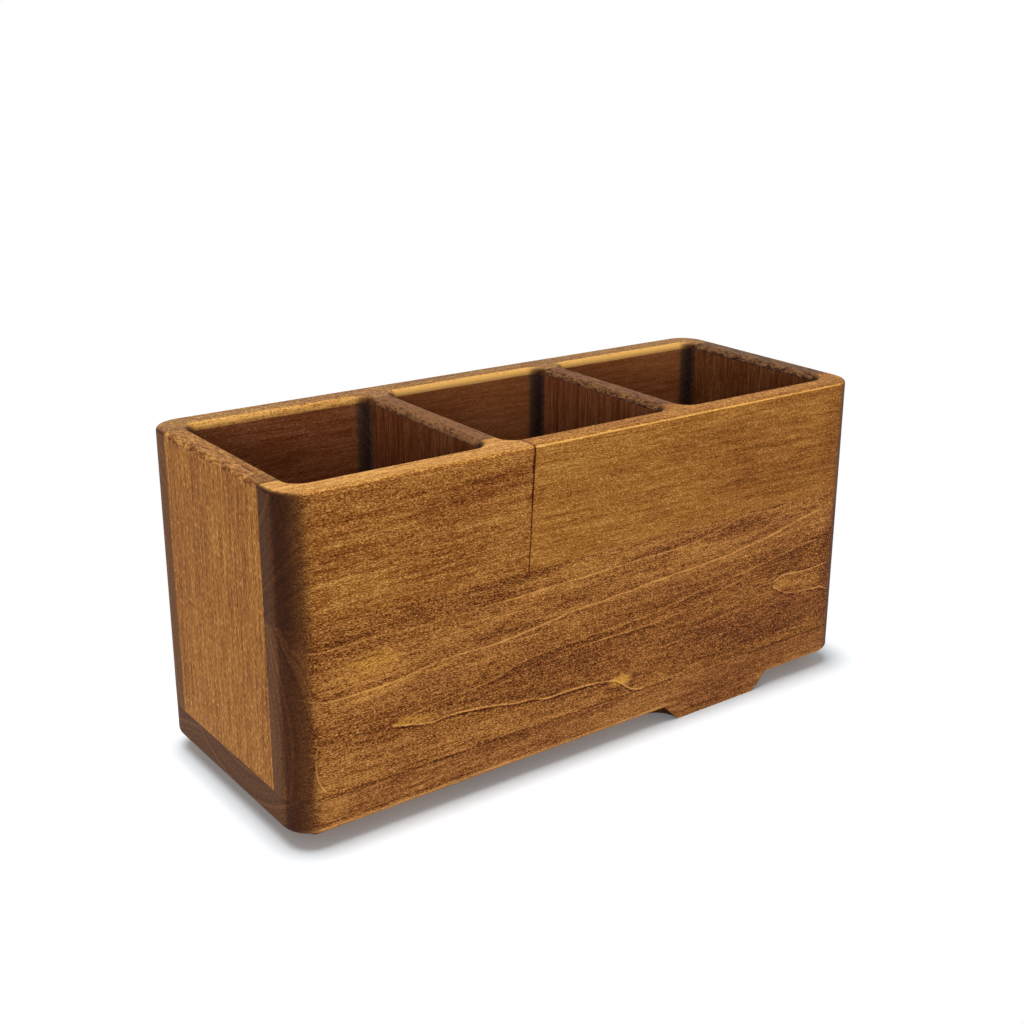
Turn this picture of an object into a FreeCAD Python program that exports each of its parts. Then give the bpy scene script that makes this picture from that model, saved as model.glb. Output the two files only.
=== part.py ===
"""Three-compartment cutlery caddy, glued up from solid edge-laminated boards.

Millimetres, +Z up.  X runs along the caddy, the front faces -Y, and the origin is the middle
of the rectangle that the caddy covers, on the surface it stands on.

Two thick boards (front and back) run the whole length with their grain along X.  Two end
panels and two dividers, with upright grain, are glued between them.  Pockets milled into the
inner faces of the thick boards leave a land at each panel, with a fillet on each side of it.
A base board closes the bottom.  Its underside is rebated all round, so that the caddy stands
on an inset plinth, and one tab of the full board thickness is left flush with the front.

Every board is laminated from staves.  Each stave is the part of the finished caddy that lies
inside its own sawn blank, so that all the staves meet face to face.  Dowels hidden in the
glue joint under the walls locate the base board.
"""
import FreeCAD, Part
import math
import os

# ---------------------------------------------------------------- driving dimensions (mm)
# Compartments, inside
LEFT_COMPARTMENT_LENGTH = 84.7
MIDDLE_COMPARTMENT_LENGTH = 84.1
RIGHT_COMPARTMENT_LENGTH = 87.2
COMPARTMENT_DEPTH = 94.6
WALL_HEIGHT = 123.7
CUTTER_RADIUS = 6.0

# Board thicknesses
END_THICKNESS = 11.0
DIVIDER_THICKNESS = 11.0
POCKET_WALL_THICKNESS = 12.2
POCKET_DEPTH = 6.3
BASE_THICKNESS = 21.4

# Edges of the finished caddy
OUTER_CORNER_RADIUS = 13.0
RIM_OUTER_ROUNDOVER = 1.8
RIM_INNER_ROUNDOVER = 3.0
BASE_EDGE_ROUNDOVER = 3.0

# Rebate under the base, and the plinth and tab that it leaves
REBATE_HEIGHT = 6.9
REBATE_WIDTH = 12.0
PLINTH_CORNER_RADIUS = 3.0
TAB_FOOT_LENGTH = 48.1
TAB_FOOT_FROM_RIGHT_END = 58.5
TAB_COVE_RADIUS = 9.7
TAB_SIDE_ANGLE = 45.0
TAB_ROOT_FILLET = 10.0

# Staves
LOWER_PLANK_HEIGHT = 71.0
UPPER_LEFT_STAVE_TOP_LENGTH = 111.0
UPPER_LEFT_STAVE_BOTTOM_LENGTH = 107.9
END_NARROW_STAVE_WIDTH = 10.5
DIVIDER_NARROW_STAVE_WIDTH = 17.0
BASE_REAR_PLANK_WIDTH = 32.0

# Hidden dowels in the joint between walls and base
DOWEL_DIAMETER = 6.0
DOWEL_CLEARANCE = 0.05
DOWEL_END_GAP = 0.5
DOWEL_HEIGHT_IN_WALL = 12.0
WOOD_BELOW_DOWEL = 4.0
CORNER_DOWEL_INSET = 6.5
PANEL_DOWEL_OFFSET = 16.0

# ---------------------------------------------------------------- derived sizes
BOARD_THICKNESS = POCKET_WALL_THICKNESS + POCKET_DEPTH
POCKET_FILLET = min(CUTTER_RADIUS, POCKET_DEPTH)  # the milled pocket ends inside its board
LENGTH = (2 * END_THICKNESS + 2 * DIVIDER_THICKNESS + LEFT_COMPARTMENT_LENGTH
          + MIDDLE_COMPARTMENT_LENGTH + RIGHT_COMPARTMENT_LENGTH)
DEPTH = COMPARTMENT_DEPTH + 2 * POCKET_WALL_THICKNESS
HALF_LENGTH = LENGTH / 2
HALF_DEPTH = DEPTH / 2
RIM_Z = BASE_THICKNESS + WALL_HEIGHT
GLUE_LINE_Z = BASE_THICKNESS + LOWER_PLANK_HEIGHT
BOARD_INNER_Y = HALF_DEPTH - BOARD_THICKNESS
PLINTH_HALF_DEPTH = HALF_DEPTH - REBATE_WIDTH
MARGIN = 5.0  # how far cutters and blanks reach past the finished surfaces

LEFT_X = -HALF_LENGTH + END_THICKNESS
LEFT_DIVIDER_X = (LEFT_X + LEFT_COMPARTMENT_LENGTH,
                  LEFT_X + LEFT_COMPARTMENT_LENGTH + DIVIDER_THICKNESS)
RIGHT_DIVIDER_X = (LEFT_DIVIDER_X[1] + MIDDLE_COMPARTMENT_LENGTH,
                   LEFT_DIVIDER_X[1] + MIDDLE_COMPARTMENT_LENGTH + DIVIDER_THICKNESS)
RIGHT_X = HALF_LENGTH - END_THICKNESS
COMPARTMENTS_X = ((LEFT_X, LEFT_DIVIDER_X[0]),
                  (LEFT_DIVIDER_X[1], RIGHT_DIVIDER_X[0]),
                  (RIGHT_DIVIDER_X[1], RIGHT_X))


# ---------------------------------------------------------------- shape helpers
def block(x_range, y_range, z_range):
    """A box between two values of each coordinate."""
    corner = FreeCAD.Vector(x_range[0], y_range[0], z_range[0])
    return Part.makeBox(x_range[1] - x_range[0], y_range[1] - y_range[0],
                        z_range[1] - z_range[0], corner)


def upright_edges(shape):
    """The vertical straight edges of a shape."""
    found = []
    for edge in shape.Edges:
        ends = [vertex.Point for vertex in edge.Vertexes]
        if len(ends) == 2 and math.hypot(ends[0].x - ends[1].x, ends[0].y - ends[1].y) < 1e-6:
            found.append(edge)
    return found


def level_edges(shape, z):
    """The edges of a shape that lie at height z."""
    return [edge for edge in shape.Edges
            if abs(edge.BoundBox.ZMin - z) < 1e-6 and abs(edge.BoundBox.ZMax - z) < 1e-6]


def rounded_block(x_range, y_range, z_range, radius):
    """A box whose four vertical edges are rounded."""
    plain = block(x_range, y_range, z_range)
    return plain.makeFillet(radius, upright_edges(plain))


def extrude_outline(wire, direction):
    """The solid swept by a closed flat outline."""
    return Part.Face(wire).extrude(direction)


def footprint(z_range):
    """The caddy's outer outline between two heights."""
    return rounded_block((-HALF_LENGTH, HALF_LENGTH), (-HALF_DEPTH, HALF_DEPTH), z_range,
                         OUTER_CORNER_RADIUS)


# ---------------------------------------------------------------- the finished surfaces
def finished_walls():
    """All the walls above the base board as one envelope, with the rim rounded over."""
    body = footprint((BASE_THICKNESS, RIM_Z))
    body = body.makeFillet(RIM_OUTER_ROUNDOVER, level_edges(body, RIM_Z))
    for x_range in COMPARTMENTS_X:
        half = COMPARTMENT_DEPTH / 2
        hollow = rounded_block(x_range, (-half, half),
                               (BASE_THICKNESS - MARGIN, RIM_Z + MARGIN), POCKET_FILLET)
        body = body.cut(hollow)
    reach = RIM_OUTER_ROUNDOVER + RIM_INNER_ROUNDOVER
    inner_rim = [edge for edge in level_edges(body, RIM_Z)
                 if abs(edge.CenterOfMass.y) < HALF_DEPTH - reach
                 and abs(edge.CenterOfMass.x) < HALF_LENGTH - reach]
    return body.makeFillet(RIM_INNER_ROUNDOVER, inner_rim)


def tab_profile():
    """The tab's front outline, swept back to the plinth.

    Each side starts level at the top of the base's edge roundover, falls along a cove, and
    runs on straight at TAB_SIDE_ANGLE to the end of the foot.
    """
    angle = math.radians(TAB_SIDE_ANGLE)
    top_z = REBATE_HEIGHT + BASE_EDGE_ROUNDOVER
    foot_right = HALF_LENGTH - TAB_FOOT_FROM_RIGHT_END
    foot_left = foot_right - TAB_FOOT_LENGTH
    cove_drop = TAB_COVE_RADIUS * (1 - math.cos(angle))
    cove_run = TAB_COVE_RADIUS * math.sin(angle)
    straight_run = (top_z - cove_drop) / math.tan(angle)

    def side(foot_x, outward):
        """Points down one side: cove start, cove middle, cove end and foot."""
        start_x = foot_x + outward * (straight_run + cove_run)
        middle_x = start_x - outward * TAB_COVE_RADIUS * math.sin(angle / 2)
        middle_z = top_z - TAB_COVE_RADIUS * (1 - math.cos(angle / 2))
        return (FreeCAD.Vector(start_x, -HALF_DEPTH, top_z),
                FreeCAD.Vector(middle_x, -HALF_DEPTH, middle_z),
                FreeCAD.Vector(foot_x + outward * straight_run, -HALF_DEPTH, top_z - cove_drop),
                FreeCAD.Vector(foot_x, -HALF_DEPTH, 0))

    left = side(foot_left, -1)
    right = side(foot_right, 1)
    outline = Part.Wire([
        Part.Arc(left[0], left[1], left[2]).toShape(),
        Part.LineSegment(left[2], left[3]).toShape(),
        Part.LineSegment(left[3], right[3]).toShape(),
        Part.LineSegment(right[3], right[2]).toShape(),
        Part.Arc(right[2], right[1], right[0]).toShape(),
        Part.LineSegment(right[0], left[0]).toShape()])
    return extrude_outline(outline, FreeCAD.Vector(0, REBATE_WIDTH + MARGIN, 0))


def tab_root():
    """Two upright fillets where the sides of the tab's foot meet the plinth's front."""
    foot_right = HALF_LENGTH - TAB_FOOT_FROM_RIGHT_END
    foot_left = foot_right - TAB_FOOT_LENGTH
    front_y = -PLINTH_HALF_DEPTH
    radius = TAB_ROOT_FILLET
    roots = []
    for foot_x, outward in ((foot_left, -1), (foot_right, 1)):
        square = block(sorted((foot_x, foot_x + outward * radius)),
                       (front_y - radius, front_y), (0, REBATE_HEIGHT))
        centre = FreeCAD.Vector(foot_x + outward * radius, front_y - radius, 0)
        roots.append(square.cut(Part.makeCylinder(radius, REBATE_HEIGHT, centre)))
    return roots


def finished_base():
    """The base board's envelope: a lip with a rounded lower edge, the plinth and the tab."""
    lip = footprint((REBATE_HEIGHT, BASE_THICKNESS))
    lip = lip.makeFillet(BASE_EDGE_ROUNDOVER, level_edges(lip, REBATE_HEIGHT))
    plinth_half_length = HALF_LENGTH - REBATE_WIDTH
    plinth = rounded_block((-plinth_half_length, plinth_half_length),
                           (-PLINTH_HALF_DEPTH, PLINTH_HALF_DEPTH),
                           (0, BASE_THICKNESS), PLINTH_CORNER_RADIUS)
    return lip.fuse([plinth, tab_profile()] + tab_root()).removeSplitter()


# ---------------------------------------------------------------- dowels and their holes
def dowel_places():
    """Where the dowels stand, as lists of (x, y), by the walls that they hold."""
    land_y = HALF_DEPTH - BOARD_THICKNESS / 2
    corner_y = min(land_y, HALF_DEPTH - OUTER_CORNER_RADIUS)
    corner_x = HALF_LENGTH - CORNER_DOWEL_INSET
    divider_x = [sum(pair) / 2 for pair in (LEFT_DIVIDER_X, RIGHT_DIVIDER_X)]
    panel_x = HALF_LENGTH - END_THICKNESS / 2
    back = [(-corner_x, corner_y)] + [(x, land_y) for x in divider_x] + [(corner_x, corner_y)]
    return {
        "front_wall_dowels": [(x, -y) for x, y in back],
        "back_wall_dowels": back,
        "end_panel_dowels": [(x, y) for x in (-panel_x, panel_x)
                             for y in (-PANEL_DOWEL_OFFSET, PANEL_DOWEL_OFFSET)],
        "divider_dowels": [(x, y) for x in divider_x
                           for y in (-PANEL_DOWEL_OFFSET, PANEL_DOWEL_OFFSET)],
    }


def pins(places, radius, end_gap):
    """One upright pin at each place, from inside the base board to inside the wall."""
    bottom = REBATE_HEIGHT + WOOD_BELOW_DOWEL + end_gap
    top = BASE_THICKNESS + DOWEL_HEIGHT_IN_WALL - end_gap
    return [Part.makeCylinder(radius, top - bottom, FreeCAD.Vector(x, y, bottom))
            for x, y in places]


# ---------------------------------------------------------------- sawn blanks of the staves
def slanted_blank(left_x, right_x, y_range):
    """A blank above the lower plank, whose ends are (bottom x, top x) pairs."""
    y_front = y_range[0]
    corners = [FreeCAD.Vector(left_x[0], y_front, GLUE_LINE_Z),
               FreeCAD.Vector(right_x[0], y_front, GLUE_LINE_Z),
               FreeCAD.Vector(right_x[1], y_front, RIM_Z),
               FreeCAD.Vector(left_x[1], y_front, RIM_Z)]
    outline = Part.makePolygon(corners + corners[:1])
    return extrude_outline(outline, FreeCAD.Vector(0, y_range[1] - y_range[0], 0))


def wall_blanks():
    """The sawn outline of every stave above the base board, by name."""
    outer_x = HALF_LENGTH + MARGIN
    joint_x = (-HALF_LENGTH + UPPER_LEFT_STAVE_BOTTOM_LENGTH,
               -HALF_LENGTH + UPPER_LEFT_STAVE_TOP_LENGTH)
    blanks = {}
    boards = {"front": (-HALF_DEPTH - MARGIN, -BOARD_INNER_Y),
              "back": (BOARD_INNER_Y, HALF_DEPTH + MARGIN)}
    for name, y_range in boards.items():
        blanks[name + "_lower_plank"] = block((-outer_x, outer_x), y_range,
                                              (BASE_THICKNESS, GLUE_LINE_Z))
        blanks[name + "_upper_left_stave"] = slanted_blank((-outer_x, -outer_x), joint_x,
                                                           y_range)
        blanks[name + "_upper_right_stave"] = slanted_blank(joint_x, (outer_x, outer_x),
                                                            y_range)
    panels = {"left_end": ((-outer_x, LEFT_X), END_NARROW_STAVE_WIDTH),
              "right_end": ((RIGHT_X, outer_x), END_NARROW_STAVE_WIDTH),
              "left_divider": (LEFT_DIVIDER_X, DIVIDER_NARROW_STAVE_WIDTH),
              "right_divider": (RIGHT_DIVIDER_X, DIVIDER_NARROW_STAVE_WIDTH)}
    for name, (x_range, narrow_width) in panels.items():
        seam_y = -BOARD_INNER_Y + narrow_width
        z_range = (BASE_THICKNESS, RIM_Z)
        blanks[name + "_narrow_stave"] = block(x_range, (-BOARD_INNER_Y, seam_y), z_range)
        blanks[name + "_wide_stave"] = block(x_range, (seam_y, BOARD_INNER_Y), z_range)
    return blanks


def base_blanks():
    """The sawn outline of the two planks of the base board."""
    outer_x = HALF_LENGTH + MARGIN
    outer_y = HALF_DEPTH + MARGIN
    seam_y = HALF_DEPTH - BASE_REAR_PLANK_WIDTH
    z_range = (0, BASE_THICKNESS)
    return {"base_front_plank": block((-outer_x, outer_x), (-outer_y, seam_y), z_range),
            "base_rear_plank": block((-outer_x, outer_x), (seam_y, outer_y), z_range)}


# ---------------------------------------------------------------- assembly
def make_staves():
    """Every stave: its blank cut to the finished surfaces, with its dowel holes."""
    staves = {}
    holes = [hole for places in dowel_places().values()
             for hole in pins(places, DOWEL_DIAMETER / 2 + DOWEL_CLEARANCE, 0)]
    for envelope, blanks in ((finished_base(), base_blanks()),
                             (finished_walls(), wall_blanks())):
        for name, blank in blanks.items():
            stave = blank.common(envelope).cut(holes).removeSplitter()
            staves[name] = stave.Solids[0] if len(stave.Solids) == 1 else stave
    return staves


def make_dowels():
    """The hidden dowels, one group of separate solids for each kind of wall."""
    return {name: Part.makeCompound(pins(places, DOWEL_DIAMETER / 2, DOWEL_END_GAP))
            for name, places in dowel_places().items()}


def main():
    os.makedirs("parts", exist_ok=True)
    for pieces in (make_staves(), make_dowels()):
        for name, shape in pieces.items():
            shape.exportStep(os.path.join("parts", name + ".step"))
            box = shape.BoundBox
            print("%-28s solids %d valid %s volume %.0f  size %.1f x %.1f x %.1f"
                  % (name, len(shape.Solids), shape.isValid(), shape.Volume,
                     box.XLength, box.YLength, box.ZLength))


main()
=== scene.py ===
"""Dresses the three-compartment utensil caddy: stained solid wood, soft studio light and camera."""

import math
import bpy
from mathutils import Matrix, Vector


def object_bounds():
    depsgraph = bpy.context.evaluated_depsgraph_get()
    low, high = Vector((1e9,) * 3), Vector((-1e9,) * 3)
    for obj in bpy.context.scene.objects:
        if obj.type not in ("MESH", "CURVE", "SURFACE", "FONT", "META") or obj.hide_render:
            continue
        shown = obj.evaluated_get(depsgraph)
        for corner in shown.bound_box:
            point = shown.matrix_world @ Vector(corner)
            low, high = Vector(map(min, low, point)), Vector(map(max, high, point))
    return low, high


bl_info = {
    "name": "Utensil Caddy Finish",
    "version": (1, 0, 0),
    "blender": (4, 5, 0),
    "location": "View3D > Sidebar > Caddy",
    "description": "Gives every board of the utensil caddy its own solid stained wood",
    "category": "Object",
}

import bpy
from bpy.props import FloatProperty, FloatVectorProperty, PointerProperty
from mathutils import Matrix, Vector

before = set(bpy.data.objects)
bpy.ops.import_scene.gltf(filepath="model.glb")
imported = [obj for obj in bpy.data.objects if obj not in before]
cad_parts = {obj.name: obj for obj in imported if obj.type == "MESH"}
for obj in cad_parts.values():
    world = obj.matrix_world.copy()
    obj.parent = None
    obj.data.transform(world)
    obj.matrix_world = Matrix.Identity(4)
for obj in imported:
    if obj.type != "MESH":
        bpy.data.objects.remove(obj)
CAD_LOW, CAD_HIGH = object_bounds()

MILLIMETRES = 1000.0
WHITE = (1.0, 1.0, 1.0, 1.0)


# ---------------------------------------------------------------- shader expressions

CURVE_REACH = 150.0  # drawn curves stay within this many millimetres of the middle, both ways


class Value:
    """A shader socket in an expression: + - * / and ** on it add Math nodes."""

    def __init__(self, shader, socket):
        self.shader, self.socket = shader, socket

    def __add__(self, other):
        return self.shader.math("ADD", self, other)

    def __radd__(self, other):
        return self.shader.math("ADD", other, self)

    def __sub__(self, other):
        return self.shader.math("SUBTRACT", self, other)

    def __rsub__(self, other):
        return self.shader.math("SUBTRACT", other, self)

    def __mul__(self, other):
        return self.shader.math("MULTIPLY", self, other)

    def __rmul__(self, other):
        return self.shader.math("MULTIPLY", other, self)

    def __truediv__(self, other):
        return self.shader.math("DIVIDE", self, other)

    def __rtruediv__(self, other):
        return self.shader.math("DIVIDE", other, self)

    def __pow__(self, other):
        return self.shader.math("POWER", self, other)

    def __abs__(self):
        return self.shader.math("ABSOLUTE", self)


class Shader:
    """The node tree of one material or world. add() makes any node; the rest are short names."""

    def __init__(self, owner):
        self.owner = owner
        owner.use_nodes = True
        self.tree = owner.node_tree
        self.tree.nodes.clear()

    def add(self, kind, settings=None, sockets=None, output=0):
        """A node of that kind, with its settings, then the values or links of its sockets."""
        node = self.tree.nodes.new(kind)
        for key, value in (settings or {}).items():
            if key == "stops":
                ramp = node.color_ramp
                while len(ramp.elements) < len(value):
                    ramp.elements.new(0.5)
                for element, (place, colour) in zip(ramp.elements, value):
                    element.position, element.color = place, (*colour, 1.0)
            elif key == "points":
                curve = node.mapping.curves[0].points
                while len(curve) < len(value):
                    curve.new(0.5, 0.5)
                for point, place in zip(curve, value):
                    point.location = place
                node.mapping.update()
            else:
                setattr(node, key, value)
        for key, value in (sockets or {}).items():
            if isinstance(value, Value):
                self.tree.links.new(value.socket, node.inputs[key])
            else:
                node.inputs[key].default_value = value
        return Value(self, node.outputs[output]) if len(node.outputs) else None

    def math(self, operation, *values):
        """A Math node: one number worked out from others."""
        return self.add("ShaderNodeMath", {"operation": operation}, dict(enumerate(values)))

    def coordinates(self, kind):
        """The piece's Object coordinates or its Normal."""
        return self.add("ShaderNodeTexCoord", output=kind)

    def scaled(self, vector, x, y, z):
        """The vector with each of its parts times a number."""
        sockets = {0: vector, 1: (x, y, z)}
        return self.add("ShaderNodeVectorMath", {"operation": "MULTIPLY"}, sockets)

    def combine(self, x, y, z):
        """A vector of three numbers."""
        return self.add("ShaderNodeCombineXYZ", None, {0: x, 1: y, 2: z})

    def split(self, vector):
        """The three numbers of a vector."""
        first = self.add("ShaderNodeSeparateXYZ", None, {0: vector})
        return [Value(self, socket) for socket in first.socket.node.outputs]

    def noise(self, vector, scale, detail=2.0, roughness=0.5, distortion=0.0):
        """Perlin noise from 0 to 1, centred on a half."""
        return self.add(
            "ShaderNodeTexNoise",
            {"noise_dimensions": "3D", "normalize": True},
            {
                "Vector": vector,
                "Scale": scale,
                "Detail": detail,
                "Roughness": roughness,
                "Distortion": distortion,
            },
        )

    def noise_line(self, w, scale, detail, roughness):
        """Noise of one number, for tones that are the same along a whole growth ring."""
        return self.add(
            "ShaderNodeTexNoise",
            {"noise_dimensions": "1D", "normalize": True},
            {"W": w, "Scale": scale, "Detail": detail, "Roughness": roughness},
        )

    def rise(self, value, low, high):
        """0 below low, 1 above high, and an S curve between; low may be above high."""
        if low > high:
            return 1.0 - self.rise(value, high, low)
        return self.add(
            "ShaderNodeMapRange",
            {"interpolation_type": "SMOOTHSTEP", "clamp": True},
            {0: value, 1: low, 2: high, 3: 0.0, 4: 1.0},
        )

    def bump_at(self, value, centre, half_width):
        """1 where value is centre, falling to 0 at half_width either side."""
        return self.rise(abs(value - centre), half_width, 0.0)

    def tint(self, share, first, second, kind="MIX"):
        """Colours mixed by a share from 0 to 1."""
        first, second = [c if isinstance(c, Value) else (*c, 1.0) for c in (first, second)]
        return self.add(
            "ShaderNodeMix",
            {"data_type": "RGBA", "blend_type": kind, "clamp_factor": True},
            {0: share, 6: first, 7: second},
            output=2,
        )

    def ramp(self, value, stops):
        """The colour at a place on a ramp, whose stops are places and their colours."""
        return self.add("ShaderNodeValToRGB", {"stops": stops}, {0: value})

    def curve(self, value, points):
        """A smooth curve through points, in millimetres within CURVE_REACH both ways."""
        span = 2.0 * CURVE_REACH
        scaled = [((a + CURVE_REACH) / span, (b + CURVE_REACH) / span) for a, b in points]
        share = (value + CURVE_REACH) / span
        height = self.add("ShaderNodeFloatCurve", {"points": scaled}, {0: 1.0, 1: share})
        return height * span - CURVE_REACH


def linear(red, green, blue):
    """A colour given as bytes, 0 to 255, in scene linear numbers."""
    out = []
    for channel in (red, green, blue):
        c = channel / 255.0
        out.append(c / 12.92 if c <= 0.04045 else ((c + 0.055) / 1.055) ** 2.4)
    return tuple(out)


def even_stops(colours):
    """Ramp stops at even steps from 0 to 1, from colours given as bytes."""
    return [(i / (len(colours) - 1), linear(*colour)) for i, colour in enumerate(colours)]


def polynomial(t, terms):
    """The sum of terms[n] times t to the power n, by nesting."""
    total = terms[-1]
    for term in reversed(terms[:-1]):
        total = total * t + term
    return total


# ---------------------------------------------------------------- the boards

BASE_TOP_Z = 21.4
GLUE_LINE_Z = 92.4  # between the lower planks and the upper staves
RIM_Z = 145.1
BUTT_JOINT_X = -39.0  # where the joint between the upper staves meets the rim
BUTT_JOINT_LEAN = 0.0588  # how far it moves along X for each millimetre of height

# Stain colours from the darkest streak to the palest, five even steps.
STAINS = {
    "red_brown": [(42, 15, 2), (96, 45, 8), (133, 79, 33), (167, 111, 52), (208, 150, 80)],
    "amber": [(52, 18, 2), (104, 51, 8), (141, 85, 32), (175, 120, 58), (215, 162, 86)],
    "honey": [(68, 30, 4), (120, 68, 15), (150, 94, 36), (175, 122, 56), (213, 162, 86)],
    "umber": [(43, 17, 5), (98, 48, 12), (136, 83, 38), (168, 113, 57), (206, 150, 84)],
    "tan": [(74, 36, 4), (118, 65, 15), (153, 95, 34), (181, 124, 54), (216, 167, 96)],
}
END_GRAIN = [(25, 10, 4), (41, 20, 8), (59, 30, 14), (85, 50, 24), (123, 81, 45)]

# What the staves of a panel or the planks of the base have in common, by the keys below.
RIGHT_END = {
    "stain": "tan",
    "grain": "Z",
    "end_rim_highlight": 0.06,
    "rim_sheen_tint": (0.92, 1.08, 1.3),
    "bevel_sheen_tint": (1.02, 1.2, 1.6),
    "inner": 0.54,
}
DIVIDER = {"stain": "amber", "grain": "Z", "calm": 0.7, "bevel_sheen_tint": (1.03, 1.14, 1.4)}
LEFT_DIVIDER = {**DIVIDER, "end_rim_highlight": 0.22, "inner": 0.7}
RIGHT_DIVIDER = {**DIVIDER, "end_rim_highlight": 0.13, "inner": 0.74}
BASE = {"stain": "umber", "grain": "X", "hem_light": 0.2}
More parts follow.
